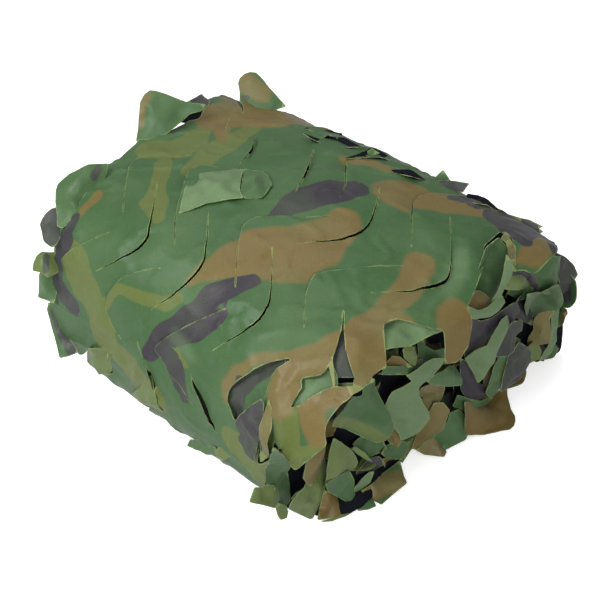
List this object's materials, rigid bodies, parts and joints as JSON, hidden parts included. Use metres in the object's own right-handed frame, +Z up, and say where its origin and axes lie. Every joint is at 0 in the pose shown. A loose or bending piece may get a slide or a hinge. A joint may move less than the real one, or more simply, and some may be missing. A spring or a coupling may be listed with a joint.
{
  "type": "camouflage net",
  "caption": "Camouflage net folded into a soft rectangular bundle, with chevron slits and leaf-cut ends hanging out at both sides.",
  "frame": {"origin": "centre of the bounding box on the floor it lies on", "axes": "+X along the folds, towards the end whose leaves hang down; +Y across the folds, towards the rear fold; +Z up"},
  "size_m": [0.4198, 0.3266, 0.1848],
  "materials": {
    "printed_cloth": "matt coated cloth, woodland print"
  },
  "bodies": {
    "root": {"camouflage_net": "printed_cloth"}
  },
  "joints": []
}
